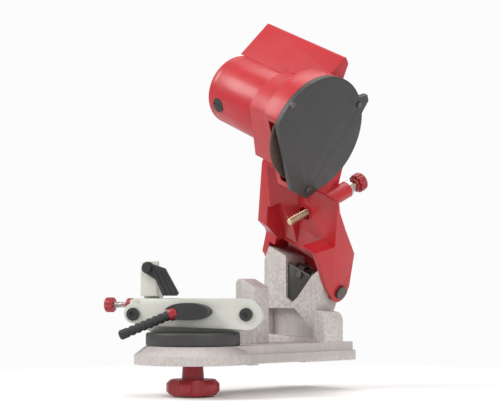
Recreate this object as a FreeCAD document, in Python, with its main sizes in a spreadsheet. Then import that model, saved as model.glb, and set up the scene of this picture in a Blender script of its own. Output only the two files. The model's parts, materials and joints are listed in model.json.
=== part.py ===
"""Bench chain grinder: a tilted motor head hinged over a swivelling chain vise.

Row frame: millimetres, +X to the user's right, +Y to the rear, +Z up. The origin is the centre of
the four bench bolts, on the underside of the base. The vise turns about a vertical axis vise_reach
in front of it. The head hinges about an axis that leans down to the right by head_tilt.
"""
import FreeCAD, Part
import Sketcher
import math
import os
from FreeCAD import Vector

doc = FreeCAD.newDocument("chain_grinder")

# ---------------------------------------------------------------- driving sizes, mm and degrees
SIZES = {
    # base casting
    "vise_reach": 158.5, "base_half": 48.0, "base_rear": 43.8, "base_thick": 18.6,
    "rim_height": 10.0, "rim_step": 3.0, "base_corner": 14.0, "pad_radius": 57.3,
    "pad_top_radius": 46.0, "front_relief": 1.0, "bench_front": -46.5,
    "bench_span_x": 70.0, "bench_span_y": 63.0, "bench_hole": 4.25,
    "screw_m8": 4.0, "screw_head": 6.5, "head_depth": 8.0, "hole_gap": 0.3, "fit_gap": 0.05,
    "seat_gap": 0.1, "swing_gap": 0.4,
    # hinge line, tower and its spring
    "hinge_x": 9.3, "hinge_y": 9.85, "hinge_z": 88.7, "head_tilt": 25.0, "pin_radius": 5.0,
    "tower_front": -11.5, "tower_depth": 30.0, "foot_left": -48.0, "foot_right": 44.0,
    "shoulder_round": 10.0, "recess_margin": 4.0, "recess_right": 15.0,
    "flank_left": -40.0, "foot_slope": 12.0, "shoulder_z": 50.5,
    "ear_left_out": -52.0, "ear_right_out": 36.0, "ear_left_top": 11.0, "ear_right_top": 10.5,
    "ear_right_foot": -23.5, "notch_left": -9.0, "notch_low": 60.0, "notch_shelf": 65.5,
    "notch_mid": -1.0, "notch_right": 7.0, "arm_peak_x": 37.0, "arm_peak_z": 94.0,
    "arm_inner_x": 27.0, "arm_inner_z": 88.0, "recess_deep": 10.0, "tower_screw_x": 25.0,
    "tower_screw_y": 3.5, "tower_screw_rise": 16.0, "bush_radius": 6.5, "clip_thick": 1.6,
    "clip_radius": 8.5, "pin_head": 7.0, "pin_head_thick": 3.0, "wire_radius": 1.0,
    "coil_radius": 7.6, "coil_turns": 2.6, "coil_left": -14.2, "coil_right": 4.4,
    "cover_thick": 3.0, "cover_set_back": 3.0, "cover_boss": 4.5, "cover_screw_radius": 1.8,
    "cover_screw_head": 3.6, "cover_screw_along": -1.5, "cover_inset": 4.0,
    # stop anvil
    "anvil_left": -19.0, "anvil_right": 7.4, "anvil_front": -78.5, "anvil_rear": -56.5,
    "anvil_corner": 6.0, "anvil_screw_rise": 14.0,
    # head: wheel centre from the hinge line, rearward and up at a right angle to it
    "wheel_back": -81.5, "wheel_up": 156.4, "swing_range": 51.0,
    "wheel_radius": 52.5, "wheel_thick": 3.2, "wheel_bore": 11.1,
    "clamp_ring": 19.0, "clamp_hub": 9.0, "outer_flange_thick": 2.6, "wheel_nut_half": 6.5,
    "flange_radius": 46.0, "flange_end": -45.0, "cup_radius": 61.0, "cup_back": -11.0,
    "cup_floor": -6.2, "cup_mouth": 8.0, "cup_wall": 5.0, "cover_face": 13.3,
    "open_way": 218.0, "open_chord": 42.0, "cover_chord": 46.0, "relief_way": 212.0, "relief_chord": 35.5,
    "neck_left": -45.0, "neck_right": 42.0, "leg_left": -60.0, "leg_right": 42.0,
    "leg_radius": 12.0, "web_radius": 27.5, "pocket_left": -32.0, "pocket_right": 22.0,
    "pocket_reach": 93.0, "pocket_root": 40.0, "pocket_way": 130.0, "pocket_sweep": 8.0,
    "pocket_floor": 20.0, "neck_gap": 1.0,
    # side view of neck and legs: rearward from the hinge line, and up at a right angle to it
    "neck_front": -83.0, "neck_rear": -66.0, "neck_sink": 26.0, "brow_up": 105.0,
    "chin_back": -60.0, "chin_up": 42.0, "throat_back": -34.0, "nape_up": 123.0,
    "collar_back": -50.0, "collar_up": 93.0, "spine_back": -26.0, "spine_up": 69.0,
    "heel_back": 1.0, "heel_up": 44.0, "toe_half": 10.0, "toe_low": -6.6, "ankle_up": 6.0,
    "left_shin_back": -24.0, "left_shin_up": 24.0, "left_knee_back": -37.0, "left_knee_up": 38.0,
    "right_shin_back": -42.0, "right_shin_up": 24.0,
    "port_left": -13.0, "port_back": -43.0, "port_up": 73.0, "cheek_share": 0.46, "cheek_low": 28.0,
    "cheek_thick": 5.0,
    "back_front": -34.0, "back_foot": -28.0, "back_step": 0.38, "back_rear": 2.0,
    "back_low_right": 42.0, "back_low": 41.0,
    "back_mid_right": 12.0, "back_mid": 64.5, "back_right": -8.0, "back_up": 98.0,
    "apron_inner": 14.6, "apron_outer": 18.0, "apron_low": -6.0, "apron_bend": 12.0,
    "apron_rise": 16.0, "apron_top": 28.0, "apron_right": 12.0,
    "tip_reach": 68.5, "tip_way": 282.0, "fin_reach": 71.5, "fin_way": 40.0,
    "tip_spread": 26.0, "cover_screw_step": 113.0,
    "cover_screw_ring": 58.4, "guard_screw": 1.6, "guard_screw_head": 3.2,
    # motor
    "barrel_radius": 36.6, "barrel_rise": 5.0, "barrel_end": -108.0, "barrel_far": -120.0,
    "dome_radius": 9.0, "motor_bore": 28.3, "stator_gap": 0.8, "stator_inner": 15.6,
    "stator_near": -43.0, "stator_far": -83.0, "armature_radius": 15.0, "shaft_radius": 4.0,
    "shaft_far": -114.5, "shaft_near": 7.6, "bearing_radius": 11.0, "bearing_width": 7.0,
    "bearing_race": 3.0, "commutator_radius": 10.0, "commutator_half": 5.0, "brush_place": -99.0,
    "brush_way": 199.0, "brush_half": 2.5, "brush_long": 11.0, "holder_radius": 4.6,
    "brush_cap": 7.4, "brush_cap_thick": 2.4, "cap_stand": 0.4, "cap_slot_half": 0.8,
    "cap_slot_deep": 1.2, "fan_radius": 26.0,
    "fan_near": -26.0, "fan_far": -35.0, "fan_blade": 1.4, "tie_ring": 33.5, "tie_radius": 2.0,
    "tie_way": 45.0, "vent_inner": 16.0, "vent_outer": 24.0, "vent_half": 1.6,
    "fan_blades": 9.0, "vents": 8.0,
    # switch box on the barrel
    "box_front": -5.0, "box_foot": 41.0, "box_top_back": 21.0, "box_top": 80.0, "box_back": 29.0,
    "box_back_top": 73.0, "box_back_foot": 27.0, "box_near": -4.0, "box_far": -118.0,
    "box_wall": 2.5, "rocker_place": -58.0, "rocker_long": 21.0, "rocker_wide": 13.0,
    "rocker_rise": 52.0, "rocker_tilt": 8.0,
    "rocker_pin": 1.0, "rocker_pin_reach": 0.9,
    "rocker_crown": 3.2, "rocker_nose": 2.4, "rocker_sink": 1.5, "rocker_room": 0.7,
    "bezel_wall": 1.5, "switch_deep": 12.0, "switch_well": 7.0, "gland_place": -104.0, "gland_rise": 54.0,
    "gland_radius": 7.0, "gland_long": 16.0, "gland_bore": 3.6, "gland_lip": 1.5, "gland_collar": 4.0,
    # depth stop through the neck
    "depth_tip_back": -61.5, "depth_tip_up": 57.5, "depth_place": -3.0, "depth_slope": 29.4,
    "depth_radius": 4.0, "depth_boss": 9.0, "boss_start": 22.0, "boss_end": 83.0,
    "depth_mouth": 7.5, "depth_mouth_end": 34.0, "depth_nut": 7.4, "depth_nut_thick": 5.0,
    "depth_knob": 10.0,
    "depth_knob_start": 94.0, "depth_knob_long": 12.0, "depth_knob_neck": 6.5,
    "knob_blind": 9.0, "knurl_bite": 2.2, "knurls": 10.0, "small_knurl_bite": 1.6,
    # turntable and swivel lock
    "rest_turn": 27.4, "table_radius": 46.0, "table_top": 31.5, "stud_radius": 6.0,
    "stud_low": -26.0, "stud_high": 27.0, "knob_radius": 26.0, "knob_top": -14.0,
    "knob_low": -30.3, "knob_hub": 10.0, "knob_scallop": 9.0, "knob_lobes": 6.0,
    "washer_radius": 13.0, "washer_thick": 1.6,
    # vise jaws, s along the jaw and f towards the front
    "jaw_gap": 0.9, "jaw_front": 12.0, "rear_jaw_back": -10.0, "jaw_screw_s": 57.5,
    "jaw_screw_z": 49.0, "jaw_screw_radius": 3.0, "jaw_screw_head": 6.4,
    "jaw_screw_head_thick": 3.2, "jaw_end_radius": 15.0, "jaw_lobe_radius": 10.0,
    "jaw_top": 64.5, "jaw_left": -50.6, "jaw_right": 51.0, "foot_half": 30.0,
    "foot_back": -30.0, "foot_thick": 6.0, "foot_screw_s": 20.0, "foot_screw_f": -22.0,
    "foot_screw": 2.2, "foot_screw_head": 4.2,
    "jaw_travel": 0.8, "spring_seat": 5.2, "spring_deep": 7.0, "spring_wire": 0.6, "spring_pitch": 1.75,
    "socket_radius": 2.9, "socket_deep": 2.4,
    # clamp lever
    "lever_s": 1.4, "lever_z": 51.8, "clamp_radius": 4.0, "hub_long": 22.1, "hub_high": 8.4,
    "hub_front": 26.0, "hub_bore_end": 23.0, "arm_root_s": -8.0, "arm_root_z": 52.2,
    "arm_root_f": 20.0, "arm_fall": 24.3, "arm_out": 12.3, "arm_radius": 4.8, "arm_long": 62.0,
    "collar_start": 2.0, "collar_long": 8.0, "collar_radius": 6.6, "rib_pitch": 6.0,
    "rib_deep": 0.8,
    # chain stop and its fine adjuster
    "stop_right": -38.0, "stop_wide": 17.0, "stop_top": 101.0, "stop_back": -21.0,
    "stop_foot_low": 48.0, "stop_step": 66.5, "stop_arm_front": -1.0, "stop_arm_back": -8.0,
    "pawl_s": -46.5, "pawl_z": 94.5, "pawl_pin": 2.5, "pawl_back": -0.7, "pawl_front": 3.3,
    "pawl_eye": 6.0, "pawl_head": 4.6, "rod_z": 58.0, "rod_f": -15.5, "rod_radius": 3.0,
    "rod_left": -97.0, "rod_right": -31.0, "lug_left": -66.0, "lug_wide": 6.0,
    "lock_wheel_radius": 6.8, "lock_wheel_wide": 8.0, "rod_knob_radius": 7.5,
    "rod_knob_long": 9.0,
}

sheet = doc.addObject("Spreadsheet::Sheet", "Sizes")
for row, (name, number) in enumerate(SIZES.items(), start=1):
    sheet.set("A%d" % row, name)
    sheet.set("B%d" % row, str(number))
    sheet.setAlias("B%d" % row, name)
doc.recompute()


# ---------------------------------------------------------------- sizes that keep their formula
class Dim:
    """A size and the spreadsheet formula that gives it."""

    def __init__(self, text, value):
        self.text = text
        self.value = value

    def __add__(self, other):
        other = as_dim(other)
        return Dim("(%s + %s)" % (self.text, other.text), self.value + other.value)

    def __sub__(self, other):
        other = as_dim(other)
        return Dim("(%s - %s)" % (self.text, other.text), self.value - other.value)

    def __mul__(self, other):
        other = as_dim(other)
        return Dim("(%s * %s)" % (self.text, other.text), self.value * other.value)

    def __truediv__(self, other):
        other = as_dim(other)
        return Dim("(%s / %s)" % (self.text, other.text), self.value / other.value)

    def __neg__(self):
        return Dim("(0 - %s)" % self.text, -self.value)

    def __radd__(self, other):
        return as_dim(other) + self

    def __rsub__(self, other):
        return as_dim(other) - self

    def __rmul__(self, other):
        return as_dim(other) * self


def as_dim(size):
    """A plain number as a Dim."""
    if isinstance(size, Dim):
        return size
    return Dim("(%.9g)" % size, float(size))


def sine(angle):
    return Dim("sin(%s)" % angle.text, math.sin(math.radians(angle.value)))


def cosine(angle):
    return Dim("cos(%s)" % angle.text, math.cos(math.radians(angle.value)))


def arcsine(ratio):
    return Dim("asin(%s)" % ratio.text, math.degrees(math.asin(ratio.value)))


class Driven:
    """The spreadsheet's sizes by name, as Dims."""

    def __getattr__(self, name):
        return Dim("Sizes." + name, float(getattr(sheet, name)))


d = Driven()


# ---------------------------------------------------------------- placements as formulas
def at(x, y, z, axis=(0, 0, 1), angle=0):
    """A placement formula: a shift, and a turn about an axis."""
    shift = "; ".join(as_dim(v).text for v in (x, y, z))
    turn = "vector(%d; %d; %d); %s" % (axis[0], axis[1], axis[2], as_dim(angle).text)
    return "placement(vector(%s); rotation(%s))" % (shift, turn)


def chain(*steps):
    return " * ".join(steps)


HOME = at(0, 0, 0)
# X to the right, Y up, Z to the front, from the rear face of the tower
TOWER = at(0, d.tower_front + d.tower_depth, 0, (1, 0, 0), 90)
# X to the rear, Y up from the tilted hinge line, Z along that line to the wheel's side
HEAD = chain(at(d.hinge_x, d.hinge_y, d.hinge_z, (0, 1, 0), d.head_tilt), at(0, 0, 0, (1, 1, 1), 120))
SPINDLE = chain(HEAD, at(d.wheel_back, d.wheel_up, 0))
# Z along the depth screw, from its tip backwards
DEPTH_IN_HEAD = chain(at(d.depth_tip_back, d.depth_tip_up, d.depth_place, (0, 0, 1), d.depth_slope),
                      at(0, 0, 0, (0, 1, 0), 90))
DEPTH = chain(HEAD, DEPTH_IN_HEAD)
# the vise's own axes: X along the jaw, Z up
VISE = at(0, -d.vise_reach, 0, (0, 0, 1), d.rest_turn)
# X along the jaw, Y up, Z to the front of the jaw
FACE = chain(VISE, at(0, 0, 0, (1, 0, 0), 90))
ARM_DROOP = arcsine(d.arm_fall / d.arm_long)
LEVER = chain(FACE, at(d.arm_root_s, d.arm_root_z, d.arm_root_f, (0, 0, 1), 180),
              at(0, 0, 0, (0, 0, 1), ARM_DROOP), at(0, 0, 0, (0, 1, 0), 90 - d.arm_out))
# Z along the adjuster rod, to the right
ROD = chain(FACE, at(0, d.rod_z, d.rod_f, (0, 1, 0), 90))
STOP = chain(FACE, at(d.stop_right, 0, 0, (0, 1, 0), -90))


# ---------------------------------------------------------------- modelling helpers
nodes = []


def keep(item, label, frame=None):
    """Name a finished sub-part, place it and put it on the list to write."""
    item.Label = label
    if frame:
        item.setExpression("Placement", frame)
    nodes.append(item)
    return item


def new_body(label, frame=HOME):
    body = doc.addObject("PartDesign::Body", "body_" + label)
    return keep(body, label, frame)


def blank_body(label, frame=HOME):
    """A body that a later cut finishes, so it isn't written itself."""
    body = doc.addObject("PartDesign::Body", "blank_" + label)
    body.Label = label + "_blank"
    body.setExpression("Placement", frame)
    return body


def origin_plane(body, role):
    return [item for item in body.Origin.OriginFeatures if item.Role == role][0]


def polygon(*corners):
    return ("polygon", corners)


def circle(x, y, radius):
    return ("circle", (x, y, radius))


def rectangle(x0, y0, x1, y1):
    return polygon((x0, y0), (x1, y0), (x1, y1), (x0, y1))


def tie_point(sketch, geometry, point, x, y):
    """Hold a point of a sketch at x, y by formulas."""
    for kind, size in (("DistanceX", as_dim(x)), ("DistanceY", as_dim(y))):
        index = sketch.addConstraint(Sketcher.Constraint(kind, -1, 1, geometry, point, size.value))
        sketch.setExpression("Constraints[%d]" % index, size.text)


def draw_polygon(sketch, corners):
    first = sketch.GeometryCount
    count = len(corners)
    ends = [Vector(as_dim(x).value, as_dim(y).value, 0) for x, y in corners]
    for i in range(count):
        sketch.addGeometry(Part.LineSegment(ends[i], ends[(i + 1) % count]), False)
    for i in range(count):
        joint = Sketcher.Constraint("Coincident", first + i, 2, first + (i + 1) % count, 1)
        sketch.addConstraint(joint)
    for i, (x, y) in enumerate(corners):
        tie_point(sketch, first + i, 1, x, y)


def draw_circle(sketch, x, y, radius):
    centre = Vector(as_dim(x).value, as_dim(y).value, 0)
    radius = as_dim(radius)
    index = sketch.addGeometry(Part.Circle(centre, Vector(0, 0, 1), radius.value), False)
    tie = sketch.addConstraint(Sketcher.Constraint("Radius", index, radius.value))
    sketch.setExpression("Constraints[%d]" % tie, radius.text)
    tie_point(sketch, index, 3, x, y)


def new_sketch(body, loops, role="XY_Plane", height=0):
    sketch = body.newObject("Sketcher::SketchObject", "sketch_" + body.Label)
    sketch.AttachmentSupport = [(origin_plane(body, role), "")]
    sketch.MapMode = "FlatFace"
    sketch.setExpression("AttachmentOffset.Base.z", as_dim(height).text)
    for kind, data in loops:
        if kind == "polygon":
            draw_polygon(sketch, data)
        else:
            draw_circle(sketch, *data)
    return sketch


def pad(body, loops, low, high):
    feature = body.newObject("PartDesign::Pad", "pad_" + body.Label)
    feature.Profile = new_sketch(body, loops, height=low)
    feature.setExpression("Length", (as_dim(high) - low).text)
    doc.recompute()
    return feature


def pocket(body, loops, low, high):
    """Cut from high down to low."""
    feature = body.newObject("PartDesign::Pocket", "pocket_" + body.Label)
    feature.Profile = new_sketch(body, loops, height=high)
    feature.setExpression("Length", (as_dim(high) - low).text)
    doc.recompute()
    return feature


def turned(label, frame, profile):
    """A lathe-turned piece about its own Z, from (radius, height) corners."""
    body = new_body(label, frame)
    feature = body.newObject("PartDesign::Revolution", "turn_" + label)
    feature.Profile = new_sketch(body, [polygon(*profile)], role="XZ_Plane")
    feature.ReferenceAxis = (feature.Profile[0], ["V_Axis"])
    feature.Angle = 360
    doc.recompute()
    return body


def primitive(body, kind, place, sizes):
    """A PartDesign cylinder, cone or box, added or subtracted at a placement."""
    feature = body.newObject("PartDesign::" + kind, kind + "_" + body.Label)
    for name, size in sizes.items():
        feature.setExpression(name, as_dim(size).text)
    feature.setExpression("Placement", place)
    doc.recompute()
    return feature


def drill(body, place, radius, low, high):
    sizes = {"Radius": radius, "Height": as_dim(high) - low}
    return primitive(body, "SubtractiveCylinder", chain(place, at(0, 0, low)), sizes)


def grow(body, place, radius, low, high):
    sizes = {"Radius": radius, "Height": as_dim(high) - low}
    return primitive(body, "AdditiveCylinder", chain(place, at(0, 0, low)), sizes)


def soften(body, radius, spots):
    """Round the edges that pass through the given points."""
    base = body.Tip
    names = []
    for spot in spots:
        point = Part.Vertex(Vector(*[as_dim(v).value for v in spot]))
        for i, edge in enumerate(base.Shape.Edges, start=1):
            if edge.distToShape(point)[0] < 0.01:
                names.append("Edge%d" % i)
    feature = body.newObject("PartDesign::Fillet", "round_" + body.Label)
    feature.Base = (base, sorted(set(names)))
    feature.setExpression("Radius", as_dim(radius).text)
    body.Tip = feature
    doc.recompute()
    return feature


def repeat(body, feature, count):
    """Repeat a feature in a circle about the body's Z."""
    pattern = body.newObject("PartDesign::PolarPattern", "ring_" + body.Label)
    pattern.Originals = [feature]
    pattern.Axis = (origin_plane(body, "Z_Axis"), [""])
    pattern.Angle = 360
    pattern.Occurrences = int(round(as_dim(count).value))
    body.Tip = pattern
    doc.recompute()
    return pattern


def cylinder(name, frame, radius, low, high):
    item = doc.addObject("Part::Cylinder", name)
    item.setExpression("Radius", as_dim(radius).text)
    item.setExpression("Height", (as_dim(high) - low).text)
    item.setExpression("Placement", chain(frame, at(0, 0, low)))
    return item


def rod(label, frame, radius, low, high):
    return keep(cylinder("rod_" + label, frame, radius, low, high), label)


def cut(label, base, tools):
    """A finished sub-part: a base with tools taken away."""
    tool = tools[0]
    if len(tools) > 1:
        tool = doc.addObject("Part::MultiFuse", "tools_" + label)
        tool.Shapes = tools
    item = doc.addObject("Part::Cut", "cut_" + label)
    item.Base = base
    item.Tool = tool
    return keep(item, label)


def ring(label, frame, outer, inner, low, high):
    base = cylinder("outer_" + label, frame, outer, low, high)
    tool = cylinder("inner_" + label, frame, inner, low - as_dim(1), as_dim(high) + 1)
    return cut(label, base, [tool])


def group(label, items):
    """Identical loose pieces as one node."""
    item = doc.addObject("Part::Compound", "group_" + label)
    item.Links = items
    return keep(item, label)


def fused(name, items):
    item = doc.addObject("Part::MultiFuse", name)
    item.Shapes = items
    return item


def cap_screw(name, frame, radius, tip, under_head, head_radius, head_thick):
    """Shank and round head along Z, the head at the upper end."""
    shank = cylinder("shank_" + name, frame, radius, tip, under_head)
    head = cylinder("head_" + name, frame, head_radius, under_head, under_head + head_thick)
    return fused("screw_" + name, [shank, head])


def polar(centre_x, centre_y, radius, way):
    return (centre_x + radius * cosine(way), centre_y + radius * sine(way))


def half_plane(centre_x, centre_y, way, distance, half_width, depth):
    """A block whose near face lies at a distance from a centre, square to a direction."""
    along = (cosine(way), sine(way))
    side = (-sine(way), cosine(way))
    corners = []
    for reach, swing in ((distance, -half_width), (distance + depth, -half_width),
                         (distance + depth, half_width), (distance, half_width)):
        corners.append((centre_x + reach * along[0] + swing * side[0],
                        centre_y + reach * along[1] + swing * side[1]))
    return polygon(*corners)


def hinge_point(along, above):
    """X and Z of a point along the hinge line and square above it."""
    x = d.hinge_x + as_dim(along) * cosine(d.head_tilt) + as_dim(above) * sine(d.head_tilt)
    z = d.hinge_z - as_dim(along) * sine(d.head_tilt) + as_dim(above) * cosine(d.head_tilt)
    return (x, z)


def height_at(x, above):
    """Z at a given X of the plane that lies square above the hinge line."""
    return d.hinge_z + (as_dim(above) - (as_dim(x) - d.hinge_x) * sine(d.head_tilt)) / cosine(d.head_tilt)


def height_on_ear(x, along):
    """Z at a given X of the ear face square to the hinge line."""
    return d.hinge_z - (as_dim(along) - (as_dim(x) - d.hinge_x) * cosine(d.head_tilt)) / sine(d.head_tilt)


# ---------------------------------------------------------------- base, tower and anvil
def tower_screw_spots():
    return [(-d.tower_screw_x, d.tower_screw_y), (d.tower_screw_x, d.tower_screw_y)]


def anvil_screw_spot():
    return ((d.anvil_left + d.anvil_right) / 2, (d.anvil_front + d.anvil_rear) / 2)


def base_plate():
    body = new_body("base_plate")
    inner_half = d.base_half - d.rim_step
    inner_rear = d.base_rear - d.rim_step
    front = -d.vise_reach
    low, high = d.rim_height / 2, (d.rim_height + d.base_thick) / 2
    pad(body, [rectangle(-inner_half, front, inner_half, inner_rear)], 0, d.base_thick)
    soften(body, d.base_corner - d.rim_step,
           [(-inner_half, inner_rear, high), (inner_half, inner_rear, high)])
    pad(body, [rectangle(-d.base_half, front, d.base_half, d.base_rear)], 0, d.rim_height)
    soften(body, d.base_corner, [(-d.base_half, d.base_rear, low), (d.base_half, d.base_rear, low)])
    pad(body, [circle(0, front, d.pad_radius)], 0, d.rim_height)
    cone = {"Radius1": d.pad_radius, "Radius2": d.pad_top_radius, "Height": d.base_thick - d.rim_height}
    primitive(body, "AdditiveCone", at(0, front, d.rim_height), cone)
    relief_half = d.pad_radius + d.rim_step
    pocket(body, [rectangle(-relief_half, front - relief_half, relief_half, d.bench_front)],
           -1, d.front_relief)
    pocket(body, [circle(0, front, d.stud_radius + d.hole_gap)], -1, d.base_thick + 1)
    half_x, half_y = d.bench_span_x / 2, d.bench_span_y / 2
    bench = [circle(x, y, d.bench_hole) for x in (-half_x, half_x) for y in (-half_y, half_y)]
    pocket(body, bench, -1, d.base_thick + 1)
    spots = tower_screw_spots() + [anvil_screw_spot()]
    pocket(body, [circle(x, y, d.screw_m8 + d.hole_gap) for x, y in spots], -1, d.base_thick + 1)
    recess = [circle(x, y, d.screw_head + d.hole_gap) for x, y in tower_screw_spots()]
    pocket(body, recess, -1, d.head_depth + d.seat_gap)
    recess = [circle(*anvil_screw_spot(), d.screw_head + d.hole_gap)]
    pocket(body, recess, -1, d.head_depth / 2)


def tower_outline():
    """Front view of the two-armed tower with its V notch."""
    flank_top = height_on_ear(d.flank_left, d.ear_left_out)
    return polygon(
        (d.foot_left, d.base_thick), (d.flank_left, d.base_thick + d.foot_slope),
        (d.flank_left, flank_top), hinge_point(d.ear_left_out, d.ear_left_top),
        (d.notch_left, height_at(d.notch_left, d.ear_left_top)), (d.notch_left, d.notch_shelf),
        (d.notch_mid, d.notch_low), (d.notch_right, d.notch_shelf), (d.arm_inner_x, d.arm_inner_z),
        (d.arm_peak_x, d.arm_peak_z), hinge_point(d.ear_right_out, d.ear_right_top),
        hinge_point(d.ear_right_out, d.ear_right_foot), (d.foot_right, d.shoulder_z),
        (d.foot_right, d.base_thick))


def hinge_tower():
    body = blank_body("hinge_tower", TOWER)
    pad(body, [tower_outline()], 0, d.tower_depth)
    inner_x, inner_z = hinge_point(d.ear_right_out, d.ear_right_foot)
    soften(body, d.shoulder_round, [((inner_x + d.foot_right) / 2, (inner_z + d.shoulder_z) / 2, 0)])
    margin = d.recess_margin
    left, right = d.flank_left + margin, d.foot_right - d.recess_right
    low = d.base_thick + margin
    top = d.notch_low - margin * 1.5
    recess = polygon((left, low + margin), (right, low), (right, low + margin * 2),
                     ((left + d.notch_low - d.base_thick) / 2, top), (left, top))
    pocket(body, [recess], d.tower_depth - d.recess_deep, d.tower_depth + 1)
    bore = cylinder("pin_bore", HEAD, d.pin_radius + d.fit_gap, d.ear_left_out - 10, d.ear_right_out + 10)
    tools = [bore]
    for i, (x, y) in enumerate(tower_screw_spots()):
        place = at(x, y, 0)
        tools.append(cylinder("tower_thread_%d" % i, place, d.screw_m8,
                              d.base_thick - 1, d.base_thick + d.tower_screw_rise))
    cut("hinge_tower", body, tools)


def tower_screws():
    screws = []
    for i, (x, y) in enumerate(tower_screw_spots()):
        flip = at(x, y, d.head_depth, (1, 0, 0), 180)
        screws.append(cap_screw("tower_%d" % i, flip, d.screw_m8 - d.fit_gap,
                                d.head_depth - d.base_thick - d.tower_screw_rise + 1, 0,
                                d.screw_head, d.head_depth - 1))
    group("tower_screws", screws)


def anvil_top():
    """Height of the anvil's face above the hinge line: the lowered head's depth screw lands on it."""
    lowered_tip = d.depth_tip_back * sine(d.swing_range) + d.depth_tip_up * cosine(d.swing_range)
    lean = d.depth_slope + d.swing_range
    return lowered_tip - d.depth_radius * cosine(lean) - d.hole_gap


def stop_anvil():
    body = blank_body("stop_anvil", at(0, d.anvil_rear, 0, (1, 0, 0), 90))
    top = anvil_top()
    pad(body, [polygon((d.anvil_left, d.base_thick), (d.anvil_right, d.base_thick),
                       (d.anvil_right, height_at(d.anvil_right, top)),
                       (d.anvil_left, height_at(d.anvil_left, top)))], 0, d.anvil_rear - d.anvil_front)
    middle = (d.anvil_rear - d.anvil_front) / 2
    soften(body, d.anvil_corner, [(d.anvil_left, height_at(d.anvil_left, top), middle)])
    x, y = anvil_screw_spot()
    thread = cylinder("anvil_thread", at(x, y, 0), d.screw_m8, d.base_thick - 1,
                      d.base_thick + d.anvil_screw_rise)
    cut("stop_anvil", body, [thread])


def anvil_screw():
    x, y = anvil_screw_spot()
    flip = at(x, y, d.head_depth / 2, (1, 0, 0), 180)
    tip = d.head_depth / 2 - d.base_thick - d.anvil_screw_rise + 1
    keep(cap_screw("anvil", flip, d.screw_m8 - d.fit_gap, tip, d.seat_gap, d.screw_head,
                   d.head_depth), "anvil_screw")


def cover_spot():
    """The spring cover's screw, in front of the hinge line, between the two coils."""
    return hinge_point(d.cover_screw_along, 0)


def spring_cover():
    body = new_body("spring_cover", TOWER)
    gap = d.hole_gap
    front = d.tower_depth - d.cover_set_back
    back = front - d.cover_thick
    x, z = cover_spot()
    inset = d.cover_inset
    left, right = d.notch_left + gap, d.arm_inner_x - inset
    pad(body, [polygon((left, height_at(left, d.ear_left_top - inset * 1.5)), (left, d.notch_shelf + gap),
                       (d.notch_mid, d.notch_low + gap), (d.notch_right - gap, d.notch_shelf + gap),
                       (right, d.arm_inner_z - inset), (right - inset / 2, height_at(right, inset * 1.5)))],
        back, front)
    pin_front = d.tower_front + d.tower_depth - d.hinge_y + d.pin_radius
    pad(body, [circle(x, z, d.cover_boss)], pin_front + d.hole_gap, back)
    pocket(body, [circle(x, z, d.cover_screw_radius + d.fit_gap)], pin_front - 1, front + 1)


def cover_screw():
    x, z = cover_spot()
    front = d.tower_depth - d.cover_set_back
    pin_middle = d.tower_front + d.tower_depth - d.hinge_y
    place = chain(TOWER, at(x, z, 0))
    keep(cap_screw("cover", place, d.cover_screw_radius, pin_middle + 1, front, d.cover_screw_head, 2.0),
         "cover_screw")


def hinge_pin():
    shank = cylinder("pin_shank", HEAD, d.pin_radius, d.leg_left - d.clip_thick * 2,
                     d.leg_right + d.seat_gap)
    head = cylinder("pin_end", HEAD, d.pin_head, d.leg_right + d.seat_gap,
                    d.leg_right + d.seat_gap + d.pin_head_thick)
    x, z = cover_spot()
    place = chain(TOWER, at(x, z, 0))
    middle = d.tower_front + d.tower_depth - d.hinge_y
    hole = cylinder("pin_cross_hole", place, d.cover_screw_radius + d.fit_gap, middle, middle + 10)
    cut("hinge_pin", fused("pin_solid", [shank, head]), [hole])


def pin_clip():
    ring("pin_clip", HEAD, d.clip_radius, d.pin_radius + d.fit_gap / 2,
         d.leg_left - d.seat_gap - d.clip_thick, d.leg_left - d.seat_gap)


def return_spring():
    """Two coils on the pin, one on each side of the cover's boss."""
    pitch = d.wire_radius * 2.3
    solids = [coil(d.coil_radius, pitch, pitch * d.coil_turns, d.wire_radius, (as_dim(0), as_dim(0), start))
              for start in (d.coil_left, d.coil_right)]
    item = doc.addObject("Part::Feature", "coils")
    item.Shape = Part.makeCompound(solids)
    keep(item, "return_spring", HEAD)


def coil(radius, pitch, length, wire, start):
    """Round wire wound upwards along Z from a point on its axis."""
    helix = Part.makeHelix(pitch.value, length.value, radius.value)
    helix.translate(Vector(*[size.value for size in start]))
    first = helix.Edges[0]
    begin = first.valueAt(first.FirstParameter)
    section = Part.Wire(Part.makeCircle(wire.value, begin, first.tangentAt(first.FirstParameter)))
    return Part.Wire(helix).makePipeShell([section], True, True)


# ---------------------------------------------------------------- head castings
def neck_outline():
    """Side view of the neck, from the flange down to the web over the hinge."""
    up = d.wheel_up - d.neck_sink
    return polygon((d.neck_front, up), (d.neck_front, d.brow_up), (d.chin_back, d.chin_up),
                   (d.throat_back, d.web_radius), (d.heel_back, d.web_radius), (d.heel_back, d.heel_up),
                   (d.spine_back, d.spine_up), (d.collar_back, d.collar_up), (d.neck_rear, d.nape_up),
                   (d.neck_rear, up))


def apron_outline():
    """Side view of the wall hanging from the web behind the tower's left half."""
    return polygon((d.apron_inner, d.apron_low), (d.apron_inner, d.apron_bend), (2, d.apron_top),
                   (-6, d.apron_top), (-6, d.chin_up), (d.heel_back, d.heel_up), (d.leg_radius, 32),
                   (d.apron_outer, d.apron_rise), (d.apron_outer, d.apron_low))


def leg_foot():
    """The legs' rear edge and lower corners, shared by both."""
    return [(d.spine_back, d.spine_up), (d.heel_back, d.heel_up), (d.leg_radius, d.ankle_up),
            (d.toe_half, d.toe_low), (-d.toe_half, d.toe_low)]


def left_leg_outline():
    return polygon((d.left_shin_back + 4, 2), (d.left_shin_back, d.left_shin_up),
                   (d.left_knee_back, d.left_knee_up), (d.left_knee_back, d.spine_up - 13), *leg_foot())


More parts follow.
